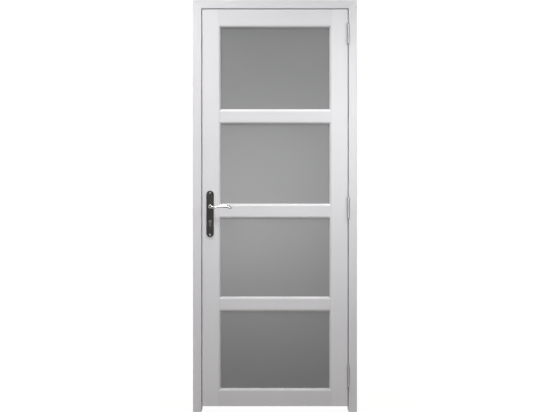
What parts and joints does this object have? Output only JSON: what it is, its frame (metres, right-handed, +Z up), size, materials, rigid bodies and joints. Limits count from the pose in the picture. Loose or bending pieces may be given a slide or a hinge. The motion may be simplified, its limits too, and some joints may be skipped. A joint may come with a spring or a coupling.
{
  "type": "glazed door with frame",
  "caption": "Glazed door leaf with stacked satin glass panes in a painted timber frame, on butt hinges, with a lever handle on a long plate.",
  "frame": {"origin": "on the outer side face of the hinge jamb, at floor level, halfway through the frame's depth", "axes": "+X out of the hinge jamb's side, -Y out of the front that opens towards the viewer, +Z up"},
  "size_m": [0.843, 0.156, 2.118],
  "materials": {
    "painted_timber": "satin white paint",
    "satin_glass": "satin, obscured",
    "hinge_steel": "satin",
    "satin_steel": "satin",
    "lock_steel": "plain zinc plated",
    "dark_bronze": "satin dark bronze",
    "bright_nickel": "bright nickel",
    "dark_nickel": "dark nickel",
    "polished_nickel": "polished"
  },
  "bodies": {
    "frame": {"latch_jamb": "painted_timber", "hinge_jamb": "painted_timber", "head_jamb": "painted_timber", "latch_stop": "painted_timber", "hinge_stop": "painted_timber", "head_stop": "painted_timber", "strike_plate": "satin_steel", "bottom_hinge_frame_plate": "hinge_steel", "middle_hinge_frame_plate": "hinge_steel", "top_hinge_frame_plate": "hinge_steel", "bottom_hinge_pin": "hinge_steel", "middle_hinge_pin": "hinge_steel", "top_hinge_pin": "hinge_steel"},
    "leaf": {"latch_stile": "painted_timber", "hinge_stile": "painted_timber", "top_rail": "painted_timber", "bottom_rail": "painted_timber", "upper_bar": "painted_timber", "middle_bar": "painted_timber", "lower_bar": "painted_timber", "lock_case": "lock_steel", "lock_forend": "satin_steel", "latch_bolt": "satin_steel", "dead_bolt": "satin_steel", "lock_cylinder": "dark_nickel", "front_plate": "dark_bronze", "back_plate": "dark_bronze", "plate_screws": "bright_nickel", "bottom_hinge_door_plate": "hinge_steel", "middle_hinge_door_plate": "hinge_steel", "top_hinge_door_plate": "hinge_steel", "bottom_pane": "satin_glass", "bottom_beads": "painted_timber", "lower_pane": "satin_glass", "lower_beads": "painted_timber", "upper_pane": "satin_glass", "upper_beads": "painted_timber", "top_pane": "satin_glass", "top_beads": "painted_timber"},
    "lever": {"front_lever": "polished_nickel", "back_lever": "polished_nickel", "spindle": "lock_steel"}
  },
  "joints": [
    {"name": "door_swing", "type": "hinge", "parent": "frame", "child": "leaf", "pos_m": [-0.0455, -0.053, 1.05], "axis": [0, 0, 1], "range_deg": [0, 170]},
    {"name": "lever_turn", "type": "hinge", "parent": "leaf", "child": "lever", "pos_m": [-0.755, -0.025, 1.056], "axis": [0, 1, 0], "range_deg": [0, 40], "stiffness_Nm_per_rad": 1.5, "springref_deg": -28.65}
  ]
}
